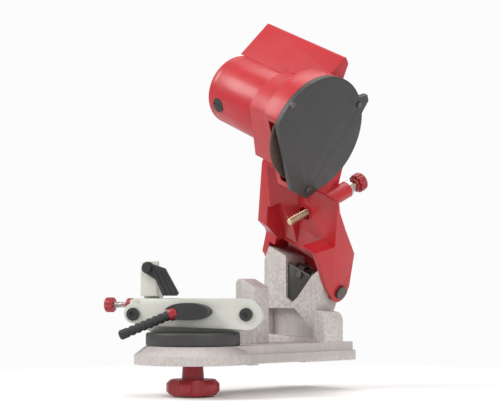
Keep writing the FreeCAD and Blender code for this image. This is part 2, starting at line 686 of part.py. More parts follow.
def right_leg_outline():
    return polygon((d.left_shin_back, 4), (d.right_shin_back, d.right_shin_up), (d.chin_back, d.chin_up),
                   (d.chin_back - 2, d.chin_up + 6), *leg_foot())


def pocket_root():
    return polar(as_dim(0), as_dim(0), d.pocket_root, d.pocket_way)


def anvil_pocket():
    """Side view of the recess in the neck's front, where the anvil stands when the head is down."""
    root = pocket_root()
    top = [polar(as_dim(0), as_dim(0), d.pocket_reach, d.pocket_way + d.pocket_sweep * share)
           for share in (0, 0.5, 1)]
    mouth = -d.pocket_reach * 1.6
    under = root[0] - 3
    return polygon(root, *top, (mouth, top[-1][1]), (mouth, d.pocket_floor), (under, d.pocket_floor))


def front_cut(share, low):
    """Side view of what is cut off in front of the neck's face, which leans back from the pocket's root."""
    back, up = pocket_root()
    reach = d.port_back - back
    climb = d.port_up - up
    front = d.neck_front * 1.3
    return polygon((back + reach * share, up + climb * share), (back + reach * 1.6, up + climb * 1.6),
                   (front, up + climb * 1.6), (front, low))


def cheek_cut():
    """The slope from the left cheek's front edge to the depth screw's hole."""
    body = blank_body("cheek_cut", chain(HEAD, at(0, 0, 0, (1, 0, 0), -90)))
    front = d.neck_front * 1.05
    pad(body, [polygon((d.port_back, -d.port_left), (front, -d.neck_left - d.cheek_thick),
                       (front, -d.port_left))], d.heel_up, d.brow_up)
    return body


def neck_back():
    """The neck's rear, narrowed upwards on the right to pass behind the wheel cup."""
    body = blank_body("neck_back", chain(HEAD, at(0, 0, 0, (0, 1, 0), 90)))
    top = d.wheel_up - d.neck_sink - d.neck_gap * 8
    for share, front in ((0, d.back_foot), (d.back_step, d.back_front)):
        low = d.back_low + (d.back_mid - d.back_low) * share
        right = d.back_low_right + (d.back_mid_right - d.back_low_right) * share
        pad(body, [polygon((-d.neck_left, low), (-d.neck_left, top), (-d.cup_back, top),
                           (-d.back_right, d.back_up), (-d.back_mid_right, d.back_mid), (-right, low))],
            front, d.back_rear)
    return body


def cover_outline(margin):
    """The wheel cover: a disc drawn out to a point below, as circle and triangle."""
    radius = d.cup_radius + margin
    tip = polar(as_dim(0), as_dim(0), d.tip_reach + margin, d.tip_way)
    inside = radius - d.hole_gap * 2
    left = polar(as_dim(0), as_dim(0), inside, d.tip_way - d.tip_spread)
    right = polar(as_dim(0), as_dim(0), inside, d.tip_way + d.tip_spread)
    return radius, polygon((0, 0), left, tip, right)


def head_arm():
    body = blank_body("head_arm", HEAD)
    wx, wy = d.wheel_back, d.wheel_up
    ear_left, ear_right = d.ear_left_out - d.swing_gap, d.ear_right_out + d.swing_gap
    pad(body, [circle(wx, wy, d.flange_radius)], d.flange_end, d.cup_back)
    pad(body, [neck_outline()], d.neck_left, d.neck_right)
    pad(body, [left_leg_outline()], d.leg_left, d.neck_left + 1)
    pad(body, [right_leg_outline()], ear_right - 1, d.leg_right)
    pad(body, [circle(0, 0, d.leg_radius)], d.leg_left, d.leg_right)
    pocket(body, [circle(0, 0, d.web_radius)], ear_left, ear_right)
    pad(body, [apron_outline()], d.leg_left, d.apron_right)
    pocket(body, [anvil_pocket()], d.pocket_left, d.pocket_right)
    pocket(body, [front_cut(d.cheek_share, d.cheek_low)], d.pocket_right - 1, d.neck_right + 1)
    pocket(body, [front_cut(as_dim(0), pocket_root()[1])], d.port_left, d.pocket_right)
    radius, point = cover_outline(d.neck_gap)
    pocket(body, [circle(wx, wy, radius)], d.cup_back, d.leg_right + 1)
    shifted = polygon(*[(x + wx, y + wy) for x, y in point[1]])
    pocket(body, [shifted], d.cup_mouth - d.neck_gap, d.leg_right + 1)
    pad(body, [circle(wx, wy, d.cup_radius)], d.cup_back - 1, d.cup_mouth)
    pocket(body, [circle(wx, wy, d.cup_radius - d.cup_wall)], d.cup_floor, d.cup_mouth + 1)
    opening = half_plane(wx, wy, d.open_way, d.open_chord, d.cup_radius * 0.75, as_dim(25))
    pocket(body, [opening], d.cup_back - 2, d.cup_mouth + 1)
    relief = half_plane(wx, wy, d.relief_way, d.relief_chord, d.flange_radius * 0.68, as_dim(20))
    pocket(body, [relief], d.flange_end - 1, d.cup_back + 1)
    seat_end = d.cup_back - 2
    pocket(body, [circle(wx, wy, d.motor_bore)], d.flange_end - 1, seat_end - d.bearing_width)
    pocket(body, [circle(wx, wy, d.bearing_radius + d.fit_gap)], seat_end - d.bearing_width - 1, seat_end)
    pocket(body, [circle(wx, wy, d.bearing_race * 2)], seat_end - 1, d.cup_floor + 1)
    pocket(body, [circle(0, 0, d.bush_radius)], d.leg_left - 1, d.leg_right + 1)
    for way in (d.tie_way, 180 - d.tie_way):
        x, y = polar(wx, wy, d.tie_ring, way)
        pocket(body, [circle(x, y, d.tie_radius)], d.flange_end - 1, d.flange_end + 14)
    for way in guard_screw_ways():
        x, y = polar(wx, wy, d.cover_screw_ring, way)
        pocket(body, [circle(x, y, d.guard_screw)], d.cup_floor, d.cup_mouth + 1)
    boss = cylinder("depth_boss", DEPTH, d.depth_boss, d.boss_start, d.boss_end)
    bore = cylinder("depth_bore", DEPTH, d.depth_radius + d.fit_gap, -5, d.boss_end + 1)
    mouth = cylinder("depth_mouth", DEPTH, d.depth_mouth, -30, d.depth_mouth_end)
    cut("head_arm", fused("neck_with_boss", [body, neck_back(), boss]), [bore, mouth, cheek_cut()])


def guard_screw_ways():
    return [d.fin_way, d.fin_way + d.cover_screw_step, d.tip_way]


def hinge_bushes():
    items = []
    for i, (low, high) in enumerate(((d.leg_left, d.ear_left_out - d.swing_gap),
                                     (d.ear_right_out + d.swing_gap, d.leg_right))):
        base = cylinder("bush_%d" % i, HEAD, d.bush_radius - d.fit_gap / 2, low, high)
        tool = cylinder("bush_bore_%d" % i, HEAD, d.pin_radius + d.fit_gap, low - 1, high + 1)
        item = doc.addObject("Part::Cut", "bush_cut_%d" % i)
        item.Base = base
        item.Tool = tool
        items.append(item)
    group("hinge_bushes", items)


def barrel_surface(way):
    """Distance from the spindle to the barrel's skin in a direction."""
    slide = d.barrel_rise * cosine(way)
    half = Dim("sqrt(%s)" % (d.barrel_radius * d.barrel_radius - slide * slide).text,
               math.sqrt(d.barrel_radius.value ** 2 - slide.value ** 2))
    return d.barrel_rise * sine(way) + half


def brush_ways():
    return [d.brush_way, d.brush_way - 180]


def brush_line(way):
    """Z outward along a brush, from the spindle, in the spindle's own frame."""
    return chain(at(0, 0, d.brush_place, (0, 0, 1), way), at(0, 0, 0, (0, 1, 0), 90))


def motor_housing():
    body = new_body("motor_housing", SPINDLE)
    pad(body, [circle(0, d.barrel_rise, d.barrel_radius)], d.barrel_end, d.flange_end - d.seat_gap)
    pocket(body, [circle(0, 0, d.motor_bore)], d.barrel_end - 1, d.flange_end + 1)
    for way in brush_ways():
        skin = barrel_surface(way)
        drill(body, brush_line(way), d.holder_radius + d.fit_gap, d.motor_bore - 3, skin + 2)
        drill(body, brush_line(way), d.brush_cap + d.fit_gap, skin - d.brush_cap_thick, skin + 3)
    for way in (d.tie_way, 180 - d.tie_way):
        x, y = polar(as_dim(0), as_dim(0), d.tie_ring, way)
        pocket(body, [circle(x, y, d.tie_radius + d.fit_gap)], d.barrel_end - 1, d.flange_end + 1)


def end_cap():
    body = new_body("end_cap", SPINDLE)
    pad(body, [circle(0, d.barrel_rise, d.barrel_radius)], d.barrel_far, d.barrel_end - d.seat_gap)
    soften(body, d.dome_radius, [(0, d.barrel_rise - d.barrel_radius, d.barrel_far)])
    seat = d.barrel_end - d.seat_gap
    floor = seat - d.bearing_width
    pocket(body, [circle(0, 0, d.motor_bore - 1), circle(0, 0, d.bearing_radius + 3)], floor, seat + 1)
    pocket(body, [circle(0, 0, d.bearing_radius + d.fit_gap)], floor, seat + 1)
    for way in (d.tie_way, 180 - d.tie_way):
        x, y = polar(as_dim(0), as_dim(0), d.tie_ring, way)
        pocket(body, [circle(x, y, d.tie_radius + d.fit_gap)], d.barrel_far - 1, seat + 1)
        pocket(body, [circle(x, y, d.tie_radius * 2)], d.barrel_far - 1, d.barrel_far + 6)
    slot = rectangle(d.vent_inner, -d.vent_half, d.vent_outer, d.vent_half)
    repeat(body, pocket(body, [slot], d.barrel_far - 1, floor + 1), int(d.vents.value))


def tie_screws():
    items = []
    for i, way in enumerate((d.tie_way, 180 - d.tie_way)):
        x, y = polar(as_dim(0), as_dim(0), d.tie_ring, way)
        flip = chain(SPINDLE, at(x, y, d.barrel_far + 6, (1, 0, 0), 180))
        tip = d.barrel_far + 6 - d.flange_end - 12
        items.append(cap_screw("tie_%d" % i, flip, d.tie_radius - d.fit_gap, tip, d.seat_gap,
                               d.tie_radius * 1.8, 3.0))
    group("tie_screws", items)


def box_outline(inset):
    """Section of the switch box; inset gives its hollow, which is open to the barrel."""
    deep = inset * 2.2
    return polygon((d.box_front + inset, d.box_foot - deep),
                   (d.box_top_back - inset * 0.35, d.box_top - inset * 1.45),
                   (d.box_back - inset, d.box_back_top - inset * 0.6),
                   (d.box_back - inset, d.box_back_foot - deep))


def rocker_window(margin):
    """Half length and half width of the switch's window in the back wall of the box."""
    return d.rocker_long / 2 + margin, d.rocker_wide / 2 + margin


def switch_box():
    body = new_body("switch_box", SPINDLE)
    pad(body, [box_outline(as_dim(0))], d.box_far, d.box_near)
    middle = (d.box_far + d.box_near) / 2
    soften(body, d.box_wall, [(d.box_top_back, d.box_top, middle), (d.box_back, d.box_back_top, middle)])
    pocket(body, [box_outline(d.box_wall)], d.box_far + d.box_wall, d.box_near - d.box_wall)
    gap = d.seat_gap
    pocket(body, [circle(0, d.barrel_rise, d.barrel_radius + gap)], d.box_far - 1, d.flange_end + 1)
    pocket(body, [circle(0, 0, d.flange_radius + gap)], d.flange_end - gap * 2, d.cup_back)
    pocket(body, [circle(0, 0, d.cup_radius + gap)], d.cup_back - 1 - gap, d.box_near + 1)
    half_long, half_wide = rocker_window(d.seat_gap)
    switch_block(body, "SubtractiveBox", d.box_back - d.box_wall - 4, d.box_back + 4, half_wide, half_long)
    place = chain(at(d.box_back, d.gland_rise, d.gland_place), at(0, 0, 0, (0, 1, 0), 90))
    drill(body, place, d.gland_radius - d.gland_lip + d.fit_gap, -d.box_wall - 2, 2)


def switch_block(body, kind, low, high, half_wide, half_long):
    """A block of the switch's case between two depths, in line with the window."""
    place = at(low, d.rocker_rise - half_wide, d.rocker_place - half_long)
    primitive(body, kind, place, {"Length": high - low, "Width": half_wide * 2, "Height": half_long * 2})


def switch_frame():
    """The switch's own case: a body through the window and a bezel outside it."""
    body = new_body("switch_frame", SPINDLE)
    wall = d.bezel_wall
    half_long, half_wide = rocker_window(as_dim(0))
    rim = d.box_back + d.seat_gap
    switch_block(body, "AdditiveBox", d.box_back - d.box_wall - d.switch_deep, rim, half_wide, half_long)
    switch_block(body, "AdditiveBox", rim, rim + wall, half_wide + wall, half_long + wall)
    switch_block(body, "SubtractiveBox", d.box_back - d.switch_well, rim + wall + 1,
                 half_wide - wall, half_long - wall)
    pivot = chain(at(d.box_back - d.rocker_sink, d.rocker_rise, d.rocker_place), at(0, 0, 0, (1, 0, 0), 90))
    reach = half_wide - d.bezel_wall + d.rocker_pin_reach
    drill(body, pivot, d.rocker_pin + d.fit_gap, -reach, reach)


ROCKER = chain(SPINDLE, at(d.box_back - d.rocker_sink, d.rocker_rise, d.rocker_place),
               at(0, 0, 0, (1, 0, 0), 90))


def switch_rocker():
    """A shallow V that rocks about the line through its middle."""
    body = new_body("switch_rocker", ROCKER)
    half = d.rocker_long / 2 - d.bezel_wall - d.rocker_room
    wide = d.rocker_wide / 2 - d.bezel_wall - d.hole_gap
    rise = half * sine(d.rocker_tilt) / cosine(d.rocker_tilt)
    crown = d.rocker_crown
    pad(body, [polygon((-d.rocker_nose, 0), (0, -half), (crown + rise, -half), (crown, 0),
                       (crown - rise / 5, half), (-rise / 2, half))], -wide, wide)
    reach = wide + d.rocker_pin_reach
    pad(body, [circle(0, 0, d.rocker_pin)], -reach, reach)


def cord_gland():
    """The inlet for the cord, pressed into the back wall of the box."""
    place = chain(SPINDLE, at(d.box_back, d.gland_rise, d.gland_place), at(0, 0, 0, (0, 1, 0), 90))
    neck = d.gland_radius - d.gland_lip
    gap = d.seat_gap
    turned("cord_gland", place, [
        (d.gland_bore, -d.box_wall - 2), (neck, -d.box_wall - 2), (neck, gap), (d.gland_radius, gap),
        (d.gland_radius, d.gland_collar), (d.gland_radius - 2, d.gland_long), (d.gland_bore, d.gland_long)])


# ---------------------------------------------------------------- spindle, motor and wheel
def spindle_shaft():
    collar = d.shaft_radius + 2
    cup = d.cup_floor - 1
    turned("spindle_shaft", SPINDLE, [
        (0, d.shaft_far), (d.shaft_radius, d.shaft_far), (d.shaft_radius, d.stator_far),
        (collar, d.stator_far + 2), (collar, d.stator_near - 2), (d.shaft_radius, d.stator_near),
        (d.shaft_radius, cup), (d.shaft_radius, d.shaft_near), (0, d.shaft_near)])


def bearings():
    """Two equal ball bearings, one in the arm and one in the end cap."""
    items = []
    front_top = d.cup_back - 2
    rear_top = d.barrel_end - d.seat_gap
    for i, top in enumerate((front_top, rear_top)):
        base = cylinder("bearing_%d" % i, SPINDLE, d.bearing_radius, top - d.bearing_width, top)
        tool = cylinder("bearing_bore_%d" % i, SPINDLE, d.shaft_radius + d.fit_gap,
                        top - d.bearing_width - 1, top + 1)
        item = doc.addObject("Part::Cut", "bearing_cut_%d" % i)
        item.Base = base
        item.Tool = tool
        items.append(item)
    group("ball_bearings", items)


def stator():
    ring("stator", SPINDLE, d.motor_bore - d.stator_gap / 4, d.stator_inner, d.stator_far, d.stator_near - 3)


def armature():
    ring("armature", SPINDLE, d.armature_radius, d.shaft_radius + 2 + d.fit_gap,
         d.stator_far + 2, d.stator_near - 4)


def commutator():
    ring("commutator", SPINDLE, d.commutator_radius, d.shaft_radius + d.fit_gap,
         d.brush_place - d.commutator_half, d.brush_place + d.commutator_half)


def brushes():
    items = []
    for i, way in enumerate(brush_ways()):
        item = doc.addObject("Part::Box", "brush_%d" % i)
        for name in ("Length", "Width"):
            item.setExpression(name, (d.brush_half * 2).text)
        item.setExpression("Height", d.brush_long.text)
        near = d.commutator_radius + d.hole_gap
        corner = at(-d.brush_half, -d.brush_half, near)
        item.setExpression("Placement", chain(SPINDLE, brush_line(way), corner))
        items.append(item)
    group("brushes", items)


def brush_holders():
    """A square-bored tube for each brush, pressed into the barrel."""
    items = []
    for i, way in enumerate(brush_ways()):
        line = chain(SPINDLE, brush_line(way))
        skin = barrel_surface(way)
        low = d.commutator_radius + 1.5
        tube = cylinder("holder_%d" % i, line, d.holder_radius, low, skin - d.brush_cap_thick - d.seat_gap)
        bore = doc.addObject("Part::Box", "holder_bore_%d" % i)
        half = d.brush_half + d.fit_gap
        for name in ("Length", "Width"):
            bore.setExpression(name, (half * 2).text)
        bore.setExpression("Height", (skin - low + 2).text)
        bore.setExpression("Placement", chain(line, at(-half, -half, low - 1)))
        item = doc.addObject("Part::Cut", "holder_cut_%d" % i)
        item.Base = tube
        item.Tool = bore
        items.append(item)
    group("brush_holders", items)


def brush_caps():
    items = []
    for i, way in enumerate(brush_ways()):
        line = chain(SPINDLE, brush_line(way))
        skin = barrel_surface(way)
        disc = cylinder("cap_%d" % i, line, d.brush_cap, skin - d.brush_cap_thick, skin + d.cap_stand)
        slot = doc.addObject("Part::Box", "cap_slot_%d" % i)
        slot.setExpression("Length", (d.brush_cap * 2).text)
        slot.setExpression("Width", (d.cap_slot_half * 2).text)
        slot.setExpression("Height", (d.cap_slot_deep * 2).text)
        floor = skin + d.cap_stand - d.cap_slot_deep
        slot.setExpression("Placement", chain(line, at(-d.brush_cap, -d.cap_slot_half, floor)))
        item = doc.addObject("Part::Cut", "cap_cut_%d" % i)
        item.Base = disc
        item.Tool = slot
        items.append(item)
    group("brush_caps", items)


def fan():
    body = new_body("cooling_fan", SPINDLE)
    hub = d.shaft_radius * 2
    pad(body, [circle(0, 0, hub)], d.fan_far, d.fan_near)
    pad(body, [circle(0, 0, d.fan_radius)], d.fan_far, d.fan_far + d.fan_blade)
    blade = rectangle(hub - 1, -d.fan_blade / 2, d.fan_radius - 1, d.fan_blade / 2)
    repeat(body, pad(body, [blade], d.fan_far, d.fan_near - 1), int(d.fan_blades.value))
    pocket(body, [circle(0, 0, d.shaft_radius + d.fit_gap)], d.fan_far - 1, d.fan_near + 1)


def inner_flange():
    half = d.wheel_thick / 2
    bore, back = d.shaft_radius + d.fit_gap, d.cup_floor + d.seat_gap * 6
    centring, step = d.wheel_bore - d.fit_gap, half - d.seat_gap * 4
    turned("inner_flange", SPINDLE, [
        (bore, back), (d.clamp_hub, back), (d.clamp_ring, -half - 2), (d.clamp_ring, -half),
        (centring, -half), (centring, step), (bore, step)])


def outer_flange():
    half = d.wheel_thick / 2
    bore, face = d.shaft_radius + d.fit_gap, half + d.outer_flange_thick
    turned("outer_flange", SPINDLE, [
        (bore, half), (d.clamp_ring, half), (d.clamp_ring, half + d.outer_flange_thick / 2),
        (d.clamp_ring * 0.7, face), (bore, face)])


def hexagon(across_half):
    corner = across_half / cosine(as_dim(30))
    return polygon(*[polar(as_dim(0), as_dim(0), corner, as_dim(60 * i)) for i in range(6)])


def wheel_nut():
    body = new_body("wheel_nut", SPINDLE)
    low = d.wheel_thick / 2 + d.outer_flange_thick
    pad(body, [hexagon(d.wheel_nut_half)], low, d.cup_mouth - d.seat_gap * 4)
    pocket(body, [circle(0, 0, d.shaft_radius + d.fit_gap)], low - 1, d.cup_mouth + 1)


def grinding_wheel():
    half = d.wheel_thick / 2
    turned("grinding_wheel", SPINDLE, [
        (d.wheel_bore, -half), (d.wheel_radius - 0.8, -half), (d.wheel_radius, -half * 0.5),
        (d.wheel_radius, half * 0.5), (d.wheel_radius - 0.8, half), (d.wheel_bore, half)])


def wheel_cover():
    body = new_body("wheel_cover", SPINDLE)
    low, high = d.cup_mouth + d.seat_gap, d.cover_face
    radius, point = cover_outline(as_dim(0))
    pad(body, [circle(0, 0, radius)], low, high)
    pad(body, [point], low, high)
    fin = [polar(as_dim(0), as_dim(0), d.cup_radius - 4, d.fin_way - 16),
           polar(as_dim(0), as_dim(0), d.fin_reach, d.fin_way - 3),
           polar(as_dim(0), as_dim(0), d.fin_reach, d.fin_way + 3),
           polar(as_dim(0), as_dim(0), d.cup_radius - 4, d.fin_way + 9)]
    pad(body, [polygon(*fin)], low, high)
    opening = half_plane(as_dim(0), as_dim(0), d.open_way, d.cover_chord, d.cup_radius * 0.75, as_dim(25))
    pocket(body, [opening], low - 1, high + 1)
    for way in guard_screw_ways():
        x, y = polar(as_dim(0), as_dim(0), d.cover_screw_ring, way)
        pocket(body, [circle(x, y, d.guard_screw + d.hole_gap)], low - 1, high + 1)


def guard_screws():
    items = []
    for i, way in enumerate(guard_screw_ways()):
        x, y = polar(as_dim(0), as_dim(0), d.cover_screw_ring, way)
        place = chain(SPINDLE, at(x, y, 0))
        items.append(cap_screw("guard_%d" % i, place, d.guard_screw - d.fit_gap, d.cup_floor + 1,
                               d.cover_face, d.guard_screw_head, 1.4))
    group("guard_screws", items)


# ---------------------------------------------------------------- depth stop
def depth_screw():
    top = d.depth_knob_start + d.knob_blind - 1
    turned("depth_screw", DEPTH, [
        (0, 0), (d.depth_radius - 1, 0), (d.depth_radius, 1), (d.depth_radius, top), (0, top)])


def depth_nut():
    body = new_body("depth_nut", DEPTH)
    low = d.boss_end + d.seat_gap
    pad(body, [hexagon(d.depth_nut)], low, low + d.depth_nut_thick)
    pocket(body, [circle(0, 0, d.depth_radius + d.fit_gap)], low - 1, low + d.depth_nut_thick + 1)


def scallops(body, radius, bite, count, low, high):
    """Finger hollows round a knob's rim."""
    hollow = pocket(body, [circle(radius + bite * 0.45, 0, bite)], low - 1, high + 1)
    repeat(body, hollow, int(as_dim(count).value))


def depth_knob():
    start, end = d.depth_knob_start, d.depth_knob_start + d.depth_knob_long
    bore, blind = d.depth_radius + d.fit_gap, start + d.knob_blind
    body = turned("depth_knob", DEPTH, [
        (bore, start), (d.depth_knob_neck, start), (d.depth_knob_neck, start + 2), (d.depth_knob, start + 3),
        (d.depth_knob, end - 1.5), (d.depth_knob - 1.5, end), (0, end), (0, blind), (bore, blind)])
    scallops(body, d.depth_knob, d.knurl_bite, d.knurls, start + 2, end)


# ---------------------------------------------------------------- turntable and swivel lock
def turntable():
    bore, low = d.stud_radius + d.fit_gap / 2, d.base_thick + d.seat_gap
    turned("turntable", VISE, [
        (bore, low), (d.table_radius - 1, low), (d.table_radius, low + 1),
        (d.table_radius, d.table_top - 1.5), (d.table_radius - 1.5, d.table_top), (0, d.table_top),
        (0, d.stud_high), (bore, d.stud_high)])


def pivot_stud():
    rod("pivot_stud", VISE, d.stud_radius, d.stud_low, d.stud_high)


def lock_washer():
    top = d.front_relief - d.seat_gap
    ring("lock_washer", VISE, d.washer_radius, d.stud_radius + d.hole_gap, top - d.washer_thick, top)


def lock_knob():
    bore = d.stud_radius + d.fit_gap
    hub_top = d.front_relief - d.washer_thick - d.seat_gap * 2
    body = turned("lock_knob", VISE, [
        (bore, hub_top), (d.knob_hub, hub_top), (d.knob_hub + 1, d.knob_top), (d.knob_radius - 4, d.knob_top),
        (d.knob_radius, d.knob_top - 4), (d.knob_radius, d.knob_low + 5), (d.knob_radius - 4, d.knob_low + 1),
        (d.knob_hub, d.knob_low), (0, d.knob_low), (0, d.stud_low - 1), (bore, d.stud_low - 1)])
    scallops(body, d.knob_radius, d.knob_scallop, d.knob_lobes, d.knob_low, d.knob_top)


# ---------------------------------------------------------------- jaws and clamp
def jaw_screw_spots():
    return [(-d.jaw_screw_s, d.jaw_screw_z), (d.jaw_screw_s, d.jaw_screw_z)]


def rear_jaw():
    body = new_body("rear_jaw", FACE)
    floor = d.table_top + d.seat_gap
    s, z = d.jaw_screw_s, d.jaw_screw_z
    face = -d.jaw_gap
    pad(body, [polygon((-44, floor), (d.lug_left + 4, z - 9), (d.lug_left, z - 3),
                       (d.lug_left, d.jaw_top - 2), (d.lug_left + 4, d.jaw_top), (d.jaw_right, d.jaw_top),
                       (s + 6, z + 9), (s + 10, z + 1), (s + 6, z - 7), (44, floor))], d.rear_jaw_back, face)
    foot_top = floor + d.foot_thick
    pad(body, [rectangle(-d.foot_half, floor, d.foot_half, foot_top)], d.foot_back, d.rear_jaw_back)
    lug_right = d.lug_left + d.lug_wide
    lug_low, lug_high = d.rod_z - 7, d.rod_z + 6
    pad(body, [rectangle(d.lug_left, lug_low, lug_right, lug_high)], d.rod_f - 6, d.rear_jaw_back)
    groove = rectangle(lug_right, d.rod_z - 4, d.stop_right + 18, d.rod_z + 2)
    pocket(body, [groove], d.rear_jaw_back - 1, d.rear_jaw_back + 3)
    shank = d.jaw_screw_radius + d.fit_gap
    pocket(body, [circle(x, y, shank) for x, y in jaw_screw_spots()], d.rear_jaw_back - 1, face + 1)
    pocket(body, [circle(d.lever_s, d.lever_z, d.clamp_radius + d.fit_gap)], d.rear_jaw_back - 1, face + 1)
    through = chain(at(0, d.rod_z, d.rod_f), at(0, 0, 0, (0, 1, 0), 90))
    drill(body, through, d.rod_radius + d.fit_gap, d.lug_left - 1, lug_right + 1)
    for side in (-1, 1):
        place = chain(at(side * d.foot_screw_s, 0, d.foot_screw_f), at(0, 0, 0, (1, 0, 0), -90))
        drill(body, place, d.foot_screw + d.seat_gap, floor - 1, foot_top + 1)


def vise_screws():
    """Two screws that hold the rear jaw's foot down on the turntable."""
    items = []
    floor = d.table_top + d.seat_gap
    for i, side in enumerate((-1, 1)):
        place = chain(VISE, at(side * d.foot_screw_s, -d.foot_screw_f, 0))
        items.append(cap_screw("vise_%d" % i, place, d.foot_screw, floor + d.seat_gap * 2,
                               floor + d.foot_thick, d.foot_screw_head, 3.0))
    group("vise_screws", items)


def front_jaw():
    body = new_body("front_jaw", FACE)
    s, z, end, lobe = d.jaw_screw_s, d.jaw_screw_z, d.jaw_end_radius, d.jaw_lobe_radius
    low, high = d.jaw_gap, d.jaw_front
    pad(body, [polygon((d.jaw_left, d.jaw_top - 0.8), (d.jaw_left - 2, z), (-s + 6, z - 8),
                       (-34, d.table_top + 6), (s - 4, z - end + 0.6), (s, z), (s - 1, z + end - 0.4),
                       (d.jaw_right, d.jaw_top))], low, high)
    pad(body, [circle(s, z, end)], low, high)
    pad(body, [circle(-s, z + 1, lobe)], low, high)
    shank = d.jaw_screw_radius + d.fit_gap
    pocket(body, [circle(x, y, shank) for x, y in jaw_screw_spots()], low - 1, high + 1)
    pocket(body, [circle(x, y, d.spring_seat) for x, y in jaw_screw_spots()], low - 1, low + d.spring_deep)
    pocket(body, [circle(d.lever_s, d.lever_z, d.clamp_radius + d.hole_gap)], low - 1, high + 1)


def jaw_screws():
    items = []
    for i, (x, y) in enumerate(jaw_screw_spots()):
        place = chain(FACE, at(x, y, 0))
        screw = cap_screw("jaw_%d" % i, place, d.jaw_screw_radius, d.rear_jaw_back + 1,
                          d.jaw_front + d.seat_gap, d.jaw_screw_head, d.jaw_screw_head_thick)
        socket = doc.addObject("Part::Prism", "jaw_socket_%d" % i)
        socket.Polygon = 6
        socket.setExpression("Circumradius", d.socket_radius.text)
        socket.setExpression("Height", (d.socket_deep * 2).text)
        top = d.jaw_front + d.seat_gap + d.jaw_screw_head_thick
        socket.setExpression("Placement", chain(place, at(0, 0, top - d.socket_deep)))
        item = doc.addObject("Part::Cut", "jaw_screw_cut_%d" % i)
        item.Base = screw
        item.Tool = socket
        items.append(item)
    group("jaw_screws", items)


def jaw_springs():
    """A short coil round each jaw screw, seated on the rear jaw, that opens the jaw."""
    wire = d.spring_wire
    room = d.jaw_gap * 2 + d.spring_deep - d.jaw_travel - wire * 2 - d.hole_gap * 2
    low = wire - d.jaw_gap + d.fit_gap
    radius = d.jaw_screw_radius + wire + d.hole_gap
    solids = [coil(radius, d.spring_pitch, room, wire, (x, y, low)) for x, y in jaw_screw_spots()]
    item = doc.addObject("Part::Feature", "jaw_coils")
    item.Shape = Part.makeCompound(solids)
    keep(item, "jaw_springs", FACE)


def clamp_stud():
    rod("clamp_stud", chain(FACE, at(d.lever_s, d.lever_z, 0)), d.clamp_radius, d.rear_jaw_back + 1,
        d.hub_bore_end - 2)


def lever_hub():
    oval = doc.addObject("Part::Ellipse", "hub_oval")
    oval.setExpression("MajorRadius", d.hub_long.text)
    oval.setExpression("MinorRadius", d.hub_high.text)
    oval.setExpression("Placement", chain(FACE, at(d.lever_s, d.lever_z, d.jaw_front + d.seat_gap)))
    block = doc.addObject("Part::Extrusion", "hub_block")
    block.Base = oval
    block.DirMode = "Normal"
    block.Solid = True
    block.Reversed = True
    block.setExpression("LengthFwd", (d.hub_front - d.jaw_front - d.seat_gap).text)
    centre = chain(FACE, at(d.lever_s, d.lever_z, 0))
    bore = cylinder("hub_bore", centre, d.clamp_radius + d.fit_gap, d.jaw_front - 2, d.hub_bore_end)
    socket = cylinder("hub_socket", LEVER, d.arm_radius + d.fit_gap, -d.fit_gap, d.arm_long)
    seat = cylinder("hub_collar_seat", LEVER, d.collar_radius + d.fit_gap, d.collar_start - d.fit_gap,
                    d.arm_long)
    cut("lever_hub", block, [bore, socket, seat])


def lever_collar():
    ring("lever_collar", LEVER, d.collar_radius, d.arm_radius + d.fit_gap, d.collar_start,
         d.collar_start + d.collar_long)


def lever_arm():
    """The lever's bar, with finger grooves all along."""
    radius, slim = d.arm_radius, d.arm_radius - d.rib_deep
    profile = [(0, d.fit_gap), (radius, d.fit_gap)]
    start = d.collar_start + d.collar_long + 4
    count = int((d.arm_long.value - start.value - 3) / d.rib_pitch.value)
    for i in range(count):
        groove = start + d.rib_pitch * i
        profile += [(radius, groove), (slim, groove + 0.8), (slim, groove + 2.2), (radius, groove + 3)]
    profile += [(radius, d.arm_long - 1.5), (radius - 1.5, d.arm_long), (0, d.arm_long)]
    turned("lever_arm", LEVER, profile)


# ---------------------------------------------------------------- chain stop and adjuster
def stop_bracket():
    """The chain stop's slide: a foot on the adjuster rod and an arm up over the jaws."""
    body = new_body("stop_bracket", STOP)
    gap = d.hole_gap
    back = d.rear_jaw_back - gap
    arm_foot = d.stop_step + 6
    pad(body, [polygon((d.stop_back, d.stop_foot_low), (back, d.stop_foot_low), (back, d.stop_step),
                       (d.stop_arm_front, d.stop_step), (d.stop_arm_front, d.stop_top),
                       (d.stop_arm_back, d.stop_top), (d.stop_arm_back, arm_foot + 3),
                       (d.stop_back, arm_foot - 3))], 0, d.stop_wide)
    tongue = rectangle(back - 1, d.rod_z - 4 + gap, back + 3 - gap, d.rod_z + 2 - gap)
    pad(body, [tongue], 0, d.stop_wide)
    pocket(body, [circle(d.rod_f, d.rod_z, d.rod_radius + d.fit_gap)], -1, d.stop_wide + 1)
    place = at(0, d.pawl_z, d.stop_right - d.pawl_s, (0, 1, 0), 90)
    drill(body, place, d.pawl_pin, d.stop_arm_back - 1, d.stop_arm_front + 1)


def chain_pawl():
    body = new_body("chain_pawl", FACE)
    s, z = d.pawl_s, d.pawl_z
    pad(body, [circle(s, z, d.pawl_eye)], d.pawl_back, d.pawl_front)
    pad(body, [polygon((s - 1, z + 5.6), (s + 18, z - 0.6), (s + 32, z - 25), (s + 30, z - 27.5),
                       (s + 16, z - 27.5), (s + 9, z - 12), (s - 3, z - 4.5))], d.pawl_back, d.pawl_front)
    for shift in (0, 5, 10):
        pad(body, [polygon((s + 6 + shift, z - 2.5), (s + 8 + shift, z - 2.5), (s + 20 + shift, z - 26),
                           (s + 18 + shift, z - 26))], d.pawl_front, d.pawl_front + 1.2)
    pocket(body, [circle(s, z, d.pawl_pin + d.fit_gap)], d.pawl_back - 1, d.pawl_front + 1)


